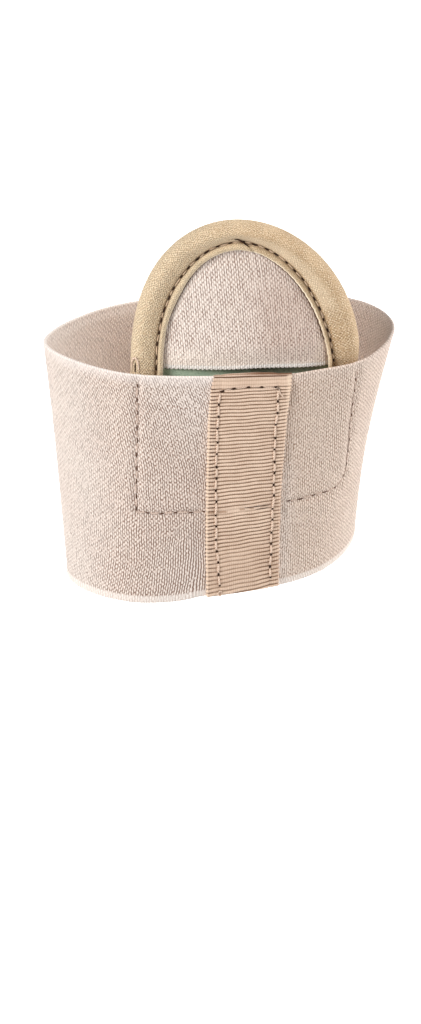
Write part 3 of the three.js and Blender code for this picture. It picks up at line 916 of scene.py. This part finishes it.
def loose_threads(threads):
    """The bar as a narrow arch on the rim's face, the loop as a small ellipse, and the tail."""
    turn = np.linspace(0, np.pi, 19)
    u = BAR["u"] - BAR["half"] * np.cos(turn)
    v = BAR["v"] + BAR["tall"] * np.sin(turn) ** 0.5
    x = u - PAD["centre"] + PAD_SWAY * np.maximum(v, 0)
    inset = (PAD["half_width"] - np.abs(x)) / RIM_SHARE["lateral"]
    n = RIM_TOP + np.interp(inset, *RIM_FACE.T) + rim_roll(inset, v) + BAR["stand"]
    tubes(threads, cloth_line(u, v, n)[None], BAR["radius"])
    turn = np.linspace(0, TURN, 25)
    u = LOOP["u"] + LOOP["half"] * np.cos(turn)
    v = LOOP["v"] + LOOP["tall"] * np.sin(turn)
    tubes(threads, cloth_line(u, v, TAPE_FACE + 0.05)[None], LOOP["radius"])
    tubes(threads, cloth_line(*TAIL.T, TAPE_FACE + 0.02)[None], TAIL_RADIUS)


def dark_creases(holes):
    """The shade in the lip's pleat, between the bar's two strands and in the lines pressed in the tape."""
    x = np.linspace(-0.9, 3.1, 15)
    u, v = on_pad(x, np.interp(x, *PLEAT.T) + 0.1)
    tubes(holes, cloth_line(u, v, RIM_TOP - SHADE_DEPTHS["pleat"])[None], CREASE_SHADES["pleat"], PLEAT_FLAT)
    v = np.linspace(-0.4, 2.2, 9)
    depth = RIM_TOP + ROLL["height"] * clear_of_band(v) - SHADE_DEPTHS["bar"]
    tubes(holes, cloth_line(BAR["u"], v, depth)[None], CREASE_SHADES["bar"], SHADE_FLAT)
    for start, end, height in PRESSED_LINES:
        line = cloth_line(np.linspace(start, end, 9), height, TAPE_FACE - SHADE_DEPTHS["pressed"])
        tubes(holes, line[None], CREASE_SHADES["pressed"], SHADE_FLAT)


def lip_shade(holes):
    """The thin shade on the cover beside the lip, fuller on the medial than on the upper lateral side."""
    x, y, u, v = rim_line(LIP_INSET + 0.1)
    line = cloth_line(u, v, COVER_TOP - SHADE_DEPTHS["lip"] + crown(x, y))
    for shown, side in (((x > 3.5) & (v > 6.0), "medial_lip"), ((x < -5.0) & (v > 13.0), "lateral_lip")):
        tubes(holes, line[shown][None], CREASE_SHADES[side], SHADE_FLAT)


# Finishes

SPECULAR = 0.25
SHEEN_ROUGHNESS = 0.5
BEAD_PITCH = {"u": 1.15, "v": 1.09}
COLOURS = {
    "elastic_weave": {
        "ground": (213, 194, 181), "patch": (208, 187, 174), "bead": (244, 229, 218), "gap": (128, 95, 77),
        "eased": (250, 240, 233), "medial": (218, 184, 150), "brim": (247, 235, 228),
        "lateral": (214, 209, 203), "selvedge": (224, 210, 201), "tick": (246, 239, 232),
    },
    "ribbed_weave": {
        "ground": (226, 199, 177), "patch": (216, 188, 166), "warp": (238, 216, 196),
        "shaded": (170, 128, 96), "valley": (134, 100, 73), "pressed": (150, 112, 84), "pit_shade": (78, 50, 36),
        "edge": (240, 216, 192), "turn": (92, 58, 38), "behind": (116, 80, 56),
    },
    "microfibre": {
        "ground": (201, 170, 134), "patch": (184, 151, 114), "light": (250, 232, 201), "dark": (114, 83, 52),
        "lateral": (250, 230, 198), "lip": (244, 224, 188), "brink": (255, 241, 216),
        "shoulder": (252, 236, 208), "outer": (246, 224, 190), "crease": (104, 74, 44),
        "sheen": (255, 236, 205),
    },
    "cover_knit": {
        "ground": (218, 200, 188), "patch": (213, 194, 181), "light": (249, 236, 226),
        "medial": (184, 153, 136), "lateral": (252, 242, 233), "low": (255, 240, 226),
        "corner": (255, 236, 218), "dark": (142, 113, 100), "edge": (255, 248, 240),
    },
    "green_foam": {
        "ground": (186, 203, 178), "patch": (170, 190, 166), "pore": (152, 173, 149),
        "medial": (140, 116, 88),
    },
    "pale_thread": {"dark": (206, 176, 154), "light": (242, 218, 198)},
    "tan_thread": {"dark": (196, 163, 132), "light": (238, 212, 182)},
    "pink_thread": {"dark": (196, 168, 152), "light": (232, 212, 198)},
    "needle_dark": {"deep": (52, 34, 24), "edge": (78, 52, 37)},
    "needle_brown": {"deep": (84, 60, 48), "edge": (112, 84, 70)},
}


def linear(red, green, blue):
    """A screen colour of 0 to 255 as the linear colour that shaders take."""
    screen = np.array([red, green, blue]) / 255
    light = np.where(screen <= 0.04045, screen / 12.92, ((screen + 0.055) / 1.055) ** 2.4)
    return (*light.tolist(), 1.0)


class Value:
    """A number that a node gives, which is added, subtracted and multiplied by further nodes."""

    def __init__(self, finish, socket):
        self.finish = finish
        self.socket = socket

    def __add__(self, other):
        return self.finish.math("ADD", self, other)

    def __mul__(self, other):
        return self.finish.math("MULTIPLY", self, other)

    def __sub__(self, other):
        return self.finish.math("SUBTRACT", self, other)

    def __rsub__(self, other):
        return self.finish.math("SUBTRACT", other, self)

    __radd__ = __add__
    __rmul__ = __mul__

    def most(self, other):
        """The larger of two values."""
        return self.finish.math("MAXIMUM", self, other)

    def off(self, middle):
        """Distance from a middle value."""
        return self.finish.math("ABSOLUTE", self - middle)

    def wave(self, pitch):
        """A cosine of that pitch, from -1 to 1."""
        return self.finish.math("COSINE", self * (TURN / pitch))

    def step(self, low, high):
        """0 at low, 1 at high, and an even S between."""
        made = self.finish.node("ShaderNodeMapRange", [self, low, high], interpolation_type="SMOOTHSTEP")
        return Value(self.finish, made.outputs[0])


class Finish:
    """A cloth's material: u and v of its map, noise over it, and the cloth's colour, tinted step by step."""

    def __init__(self, name, roughness, sheen):
        self.colours = COLOURS[name]
        self.material = bpy.data.materials.new(name)
        self.material.use_nodes = True
        self.tree = self.material.node_tree
        self.shader = self.tree.nodes["Principled BSDF"]
        self.shader.inputs["Roughness"].default_value = roughness
        self.shader.inputs["Specular IOR Level"].default_value = SPECULAR
        self.shader.inputs["Sheen Weight"].default_value = sheen
        self.shader.inputs["Sheen Roughness"].default_value = SHEEN_ROUGHNESS
        chart = self.node("ShaderNodeUVMap", uv_map="chart").outputs["UV"]
        parts = self.node("ShaderNodeSeparateXYZ", [chart])
        self.u, self.v = (Value(self, parts.outputs[axis]) for axis in "XY")

    def feed(self, socket, value):
        """Links a node's output to a socket, or sets the socket to a number or a colour by its name."""
        if isinstance(value, Value):
            value = value.socket
        if isinstance(value, bpy.types.NodeSocket):
            self.tree.links.new(value, socket)
        else:
            socket.default_value = linear(*self.colours[value]) if isinstance(value, str) else value

    def node(self, kind, inputs=(), **settings):
        """A node with its settings, and its first inputs linked or set."""
        made = self.tree.nodes.new(kind)
        for name, value in settings.items():
            setattr(made, name, value)
        for socket, value in zip(made.inputs, inputs):
            self.feed(socket, value)
        return made

    def math(self, operation, a, b=0.0):
        """A sum, product or other simple function of two values."""
        return Value(self, self.node("ShaderNodeMath", [a, b], operation=operation).outputs[0])

    def noise(self, size, detail=2.0, tall=1.0):
        """Noise over the cloth's map, from 0 to 1, in patches of that size, tall times as long along v."""
        made = self.node("ShaderNodeTexNoise", noise_dimensions="2D")
        where = self.node("ShaderNodeCombineXYZ", [self.u, self.v * (1 / tall), 0.0]).outputs[0]
        for name, value in (("Vector", where), ("Scale", 1 / size), ("Detail", detail)):
            self.feed(made.inputs[name], value)
        return Value(self, made.outputs["Fac"])

    def stray(self, size, reach, detail=2.0, tall=1.0):
        """Noise about 0, as a shift of at most about half the reach."""
        return (self.noise(size, detail, tall) - 0.5) * reach

    def mix(self, share, first, second):
        """The first colour going over to the second."""
        made = self.node("ShaderNodeMix", data_type="RGBA")
        for number, value in ((0, share), (6, first), (7, second)):
            self.feed(made.inputs[number], value)
        return made.outputs[2]

    def ground(self, share, first="ground", second="patch"):
        """Starts the cloth's colour with a mix of two."""
        self.cloth = self.mix(share, first, second)

    def tint(self, share, tone):
        """Takes the cloth's colour over to a tone, by a share."""
        self.cloth = self.mix(share, self.cloth, tone)

    def done(self, height, depth):
        """The material, with the bump of a height from about 0 to 1 that stands for depth millimetres."""
        bump = self.node("ShaderNodeBump")
        for name, value in (("Strength", 1.0), ("Distance", depth * MM), ("Height", height)):
            self.feed(bump.inputs[name], value)
        self.feed(self.shader.inputs["Base Color"], self.cloth)
        self.feed(self.shader.inputs["Normal"], bump.outputs["Normal"])
        return self.material


def elastic_weave():
    """Woven elastic: a chequer of short upright beads and gaps, fine streaks, and close whitish selvedges.

    u runs from 0 to the length of the loop. The weave shows most on the lateral half of the sole side, where
    u is near that length. Soft tints make it pale beside the tape and along the front edge, warm on the
    medial side and cool on the lateral side; beside the tape's medial edge the pale tint is painted light.
    """
    f = Finish("elastic_weave", 0.9, 0.1)
    u = f.u + f.v * 0.05 + f.stray(1.7, 0.3) + f.stray(9.0, 1.2)
    v = f.v + f.stray(2.1, 0.32)
    chequer = u.wave(BEAD_PITCH["u"]) * v.wave(BEAD_PITCH["v"]) * (0.35 + f.noise(0.6, 0.0) * 1.2)
    columns = u.wave(BEAD_PITCH["u"] / 2) * (f.noise(0.9, 0.0, tall=2.0) * 1.5)
    streaks = f.stray(0.26, 1.6, 0.0, tall=2.4)
    lateral = f.u.step(155.0, 190.0) * (0.5 - f.v.step(-40.0, -32.0) * 0.09)
    open_share = 0.52 + lateral + f.u.step(48.0, 34.0) * 0.3
    pulled = f.u.step(184.0, 201.0) * f.v.step(-36.0, -52.0)
    tone = (chequer + columns + columns * pulled * 1.6 + streaks) * open_share
    beads = tone.step(-0.05, 0.7)
    gaps = tone.step(-0.2, -0.9)
    rear = f.v.step(-56.2, -56.7) * 0.65
    front = f.v.step(-0.6, -0.2) * (0.08 + f.u.step(100.0, 170.0) * 0.72)
    selvedge = rear.most(front)
    open_weave = 1.0 - selvedge
    ticks = (f.u + f.v * 0.3 + f.stray(1.2, 0.4)).wave(0.7).step(-0.9, 0.6)
    f.ground(f.noise(11.0, 3.0).step(0.35, 0.65))
    f.tint(beads * 0.9, "bead")
    # Pale tint where the weave is pulled and beside the tape; beside the tape's medial edge it is painted
    # light against the tape's shade
    before_tape = f.u.step(182.0, 200.0) * f.v.step(-24.0, -6.0) * 0.4
    past_tape = f.u.step(14.0, 9.5) * f.v.step(-20.0, -28.0) * 0.5
    f.tint(before_tape.most(past_tape).most(pulled * 0.3), "eased")
    f.tint(gaps * open_weave * 0.85, "gap")
    f.tint(f.u.step(62.0, 20.0) * 0.16, "medial")
    f.tint(f.v.step(-3.4, -0.6) * (0.1 + f.u.step(140.0, 175.0) * 0.4), "brim")
    f.tint(f.u.step(182.0, 166.0) * f.u.step(120.0, 150.0) * 0.3, "lateral")
    f.tint(selvedge * 0.9, f.mix(ticks, "selvedge", "tick"))
    weave = beads * 0.6 - gaps * 0.6
    return f.done(weave * open_weave + ticks * selvedge * 0.4, 0.16)


def ribbed_weave():
    """Ribbed tape: warm crests with small beads of warp, dark lines between, and pale edges; v counts ribs.

    The lines between are painted shade in the valleys, and fade where the tape is plain: on the fold, where
    it is slack and in the crease. Small pits lie outside the stitch rows. Painted shade darkens the pits, the
    crease, the turn over the front edge, the tape's back beyond it and the fold; the lower part is tinted
    darker.
    """
    f = Finish("ribbed_weave", 0.85, 0.08)

    def rise(start, end):
        """0 to 1 from one height on the tape to another."""
        return f.v.step(rib_count(start), rib_count(end))

    warp = (f.u + f.stray(1.5, 0.3)).wave(0.55)
    ribs = f.v.wave(1.0)
    valley = (ribs + f.stray(2.0, 0.6)).step(0.0, 0.95)
    fold = rise(-3.0, -2.6) * rise(-0.2, -0.5)
    slack = rise(TAPE_SLACK["front"], TAPE_SLACK["full"]) * rise(TAPE_SLACK["hem"] - 0.4, TAPE_SLACK["hem"])
    slack = slack * f.u.step(TAPE_SLACK["medial"], TAPE_SLACK["lateral"])
    off_crease = f.v.off(rib_count(TAPE_CREASE["v"]))
    medial_end = f.u.step(7.0, 4.0)
    crease = off_crease.step(1.3, 0.5) * medial_end * f.u.step(-7.5, -6.5)
    ribbed = 1.0 - (fold * 0.65).most(slack * 0.3).most(crease * 0.75)
    f.ground(f.noise(6.0, 3.0).step(0.35, 0.65))
    f.tint(warp.step(-0.2, 1.0) * 0.4, "warp")
    # Painted shade on the fold, and a darker tone towards the tape's lower part
    f.tint(rise(-36.0, -52.0).most(fold) * 0.15, "shaded")
    # Painted shade in the valleys between the ribs
    f.tint(valley * ribbed * 0.85, "valley")
    # Painted shade in the crease that the pocket row presses across the tape
    f.tint(off_crease.step(0.5, 0.1) * f.noise(1.2).step(0.45, 0.6) * medial_end * 0.6, "pressed")
    outside = f.u.step(6.8, 7.4).most(f.u.step(-7.9, -8.4))
    sparse = f.u.step(-2.0, 2.0) * 0.32
    pits = outside * ribs.step(0.2, 0.8) * (f.noise(0.7) - sparse).step(0.3, 0.55)
    # Painted shade in the small pits outside the stitch rows
    f.tint(pits * ribbed * 0.7, "pit_shade")
    f.tint(f.u.step(8.6, 9.3).most(f.u.step(-9.2, -9.6)) * 0.55, "edge")
    past_turn = f.v - rib_count(0.0)
    # Painted shade on the turn over the band's front edge
    f.tint(past_turn.off(0.0).step(0.3, 0.08) * f.u.step(9.6, 8.4) * 0.85, "turn")
    # Painted shade on the tape's back beyond the turn, most on the medial side
    f.tint(past_turn.step(0.2, 0.7) * (0.25 + f.u.step(-4.0, 3.0) * 0.7), "behind")
    return f.done(warp * 0.25 + f.noise(0.35) * 0.35, 0.1)


def microfibre():
    """Tan microfibre: a fine chequer of hatching, grain and soft patches, stronger on the lateral side.

    The lip and the roll's shoulder are paler, the lip's brink has a painted highlight, painted light makes
    the roll a little lighter towards its outer edge, and painted shade darkens the stitch crease.
    """
    f = Finish("microfibre", 0.85, 0.4)
    f.feed(f.shader.inputs["Sheen Tint"], "sheen")
    along = f.u + f.stray(1.3, 0.3)
    run = f.v + f.stray(1.1, 0.2)
    hatch = along.wave(1.0) * run.wave(0.62) * (0.3 + f.noise(3.0) * 1.4)
    lateral = f.u.step(45.0, 80.0)
    upper = f.u.step(12.0, 26.0) * f.u.step(76.0, 56.0)
    tone = (hatch + f.stray(0.3, 4.2, 0.0)) * (0.5 + lateral * 0.5)
    past_crease = f.v - CREASE_RUN
    past_lip = f.v - LIP_RUN
    f.ground(f.noise(5.0, 4.0).step(0.3, 0.7))
    f.tint(tone.step(0.0, 1.1) * 0.95, "light")
    f.tint(tone.step(0.0, -1.2) * 0.8, "dark")
    f.tint(lateral * 0.22, "lateral")
    lip = past_crease.step(-0.3, -0.9) * past_lip.step(-0.6, 0.2)
    f.tint(lip * (0.08 + lateral * 0.17 + upper * 0.14), "lip")
    # Painted highlight along the lip's brink
    brink = past_lip.step(0.8, 0.3) * past_lip.step(-0.15, 0.1)
    f.tint(brink * (0.45 + upper * 0.4), "brink")
    f.tint(past_crease.step(0.5, 1.1) * past_crease.step(4.4, 2.2) * upper * 0.28, "shoulder")
    # Painted light, a little lighter towards the roll's outer edge
    f.tint(past_crease.step(2.6, 5.2) * 0.08, "outer")
    # Painted shade in the stitch crease
    f.tint(past_crease.off(0.0).step(0.75, 0.2) * (0.4 + lateral * 0.35), "crease")
    return f.done(tone, 0.07)


def cover_knit():
    """Knitted cover: a chequer of fine loops in upright wales, streaks, and pale lines between some of them.

    Painted shade makes it darker on the medial side, and painted light makes it paler on the lateral side, in
    the medial corner and towards the lower edge, which is white.
    """
    f = Finish("cover_knit", 0.9, 0.1)
    u = f.u + f.stray(2.2, 0.18)
    v = f.v + f.stray(1.7, 0.22)
    loops = u.wave(2 * WALE_PITCH) * v.wave(1.24) * (0.5 + f.noise(0.7, 0.0) * 0.9)
    columns = u.wave(WALE_PITCH) * f.noise(0.9, 0.0, tall=3.0)
    streaks = f.stray(0.24, 1.2, 0.0, tall=2.4) + f.stray(0.24, 1.4, 0.0, tall=14.0)
    lines = u.wave(3 * WALE_PITCH).step(0.6, 0.98) * f.noise(1.6, 1.0, tall=9.0).step(0.4, 0.65)
    tone = loops + columns + streaks + lines * 0.4
    light = tone.step(-0.05, 0.8)
    dark = tone.step(-0.2, -0.95)
    f.ground(f.noise(9.0, 3.0).step(0.35, 0.65))
    f.tint(light * 0.9, "light")
    # Painted shade on the medial side of the cover
    f.tint(f.u.step(-1.5, 7.5) * f.v.step(34.0, 17.0) * 0.38, "medial")
    # Painted light on the lateral side of the cover
    f.tint(f.u.step(2.0, -12.0) * 0.22, "lateral")
    middle = PAD["centre"]
    dip, lift = (f.u.step(a["from"] + middle, a["to"] + middle) * a["by"] for a in (COVER_DIP, COVER_LIFT))
    above = f.v + (COVER_DROP - COVER_EDGE) + dip - lift
    # Painted light towards the lower edge: broad, then stronger close to it
    broad = above.step(7.0, 1.5) * (0.32 + f.u.step(10.0, -2.0) * 0.4)
    narrow = above.step(2.0, 0.6)
    f.tint(broad, "low")
    f.tint(narrow * 0.6, "low")
    # Painted light in the medial lower corner
    f.tint(f.u.step(15.5, 18.0) * above.step(15.0, 3.0) * 0.4, "corner")
    f.tint(dark * (0.8 - narrow * 0.35 - broad * 0.35), "dark")
    f.tint(above.step(0.85, 0.4), "edge")
    return f.done(light * 0.5 - dark * 0.5, 0.14)


def green_foam():
    """Matt green foam with fine pores, browner on the medial side."""
    f = Finish("green_foam", 0.75, 0.05)
    pores = f.noise(0.5, 3.0)
    f.ground(f.noise(4.0, 3.0).step(0.3, 0.7))
    f.tint(pores.step(0.5, 0.3), "pore")
    # Painted shade, browner on the medial side
    f.tint(f.u.step(62.0, 42.0) * 0.4, "medial")
    return f.done(pores, 0.08)


def twisted_thread(name):
    """Sewing thread with the shine and shade of its twist."""
    f = Finish(name, 0.7, 0.1)
    twist = (f.u + f.v * 3.0).wave(0.5)
    f.ground(twist.step(-0.6, 0.6), "dark", "light")
    return f.done(twist, 0.04)


def needle_shade(name):
    """The shade inside a needle hole."""
    f = Finish(name, 0.95, 0.0)
    f.ground(f.noise(0.4).step(0.3, 0.7), "deep", "edge")
    return f.done(f.noise(0.3), 0.02)


# The bandage

BODY = "root"
band = woven_band(elastic_weave())
tape = ribbed_tape(ribbed_weave())
rim = rolled_rim(microfibre())
cover = knit_cover(cover_knit())
insert = foam_insert(green_foam())

# The hole meshes are dark tubes of painted shade: in needle holes, in creases and beside the lip
tape_threads, rim_threads, band_threads, deep_shades, band_shades = (Surface() for _ in range(5))
sew(rim_threads, deep_shades, rim_row(), "rim")
for tape_row in TAPE_ROWS:
    sew(tape_threads, deep_shades, tape_row, "tape")
sew(tape_threads, deep_shades, TAPE_ROW_CROSS, "cross")
sew(band_threads, band_shades, pocket_row(), "pocket")
loose_threads(tape_threads)
dark_creases(deep_shades)
lip_shade(band_shades)
sewing = [
    tape_threads.make("tape_stitches", twisted_thread("pale_thread")),
    rim_threads.make("rim_stitches", twisted_thread("tan_thread")),
    band_threads.make("pocket_stitches", twisted_thread("pink_thread")),
    deep_shades.make("needle_hole_and_crease_shades", needle_shade("needle_dark")),
    band_shades.make("needle_mark_and_lip_shades", needle_shade("needle_brown")),
]

for piece, node, slot in (
    (band, "elastic_band", "webbing"),
    (tape, "seam_tape", "ribbon"),
    (rim, "pad_rim", "microfibre"),
    (cover, "pad_cover", "knit"),
    (insert, "pad_insert", "insert"),
):
    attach(piece, BODY)
    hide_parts(node)
for piece in sewing:
    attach(piece, BODY)


# Floor, light and camera

FLOOR_Z = -0.30
FLOOR_HALF = 6.0
FLOOR_GREY = 0.9
CAMERA_PLACE = (-0.002625, -0.78892, 0.43355)
CAMERA_TILT = np.radians(60.0)
CAMERA_LENS = 126.56
SKY = 0.47
SOFT_BOXES = {
    "key": {"place": (-1.05, -0.72, 0.85), "size": 0.7, "watts": 20.5},
    "side": {"place": (1.25, 0.20, 0.55), "size": 0.8, "watts": 16.0},
}
BACKDROP_LAMP = {"place": (0.0, 0.75, 1.5), "cone": 48.0, "blend": 0.1, "size": 0.1, "watts": 170.0}


def floor():
    """A plain pale floor."""
    finish = bpy.data.materials.new("pale_floor")
    finish.use_nodes = True
    shader = finish.node_tree.nodes["Principled BSDF"]
    shader.inputs["Base Color"].default_value = (FLOOR_GREY, FLOOR_GREY, FLOOR_GREY, 1.0)
    shader.inputs["Roughness"].default_value = 0.9
    corners = [(x * FLOOR_HALF, y * FLOOR_HALF, FLOOR_Z) for x, y in ((-1, -1), (1, -1), (1, 1), (-1, 1))]
    mesh = bpy.data.meshes.new("floor")
    mesh.from_pydata(corners, [], [(0, 1, 2, 3)])
    mesh.materials.append(finish)
    link("floor", mesh)


def soft_box(name, values):
    """A square soft box that looks at the bandage."""
    lamp = bpy.data.lights.new(name, "AREA")
    lamp.size = values["size"]
    lamp.energy = values["watts"]
    made = link(name, lamp)
    made.location = values["place"]
    made.rotation_euler = (-made.location).to_track_quat("-Z", "Y").to_euler()


def backdrop_lamp(values):
    """A lamp straight above the floor behind the bandage, which it doesn't reach."""
    lamp = bpy.data.lights.new("backdrop", "SPOT")
    lamp.spot_size = np.radians(values["cone"])
    lamp.spot_blend = values["blend"]
    lamp.shadow_soft_size = values["size"]
    lamp.energy = values["watts"]
    link("backdrop", lamp).location = values["place"]


def camera():
    """The camera at the photograph's angle to the sole side."""
    lens = bpy.data.cameras.new("camera")
    lens.lens = CAMERA_LENS
    lens.clip_start = 0.05
    made = link("camera", lens)
    made.location = CAMERA_PLACE
    made.rotation_euler = (CAMERA_TILT, 0.0, 0.0)
    bpy.context.scene.camera = made


def sky():
    """Even white light from all round."""
    world = bpy.data.worlds.new("studio")
    world.use_nodes = True
    background = world.node_tree.nodes["Background"]
    background.inputs["Color"].default_value = (1.0, 1.0, 1.0, 1.0)
    background.inputs["Strength"].default_value = SKY
    bpy.context.scene.world = world


floor()
for name, values in SOFT_BOXES.items():
    soft_box(name, values)
backdrop_lamp(BACKDROP_LAMP)
camera()
sky()
bpy.context.scene.view_settings.view_transform = "Standard"
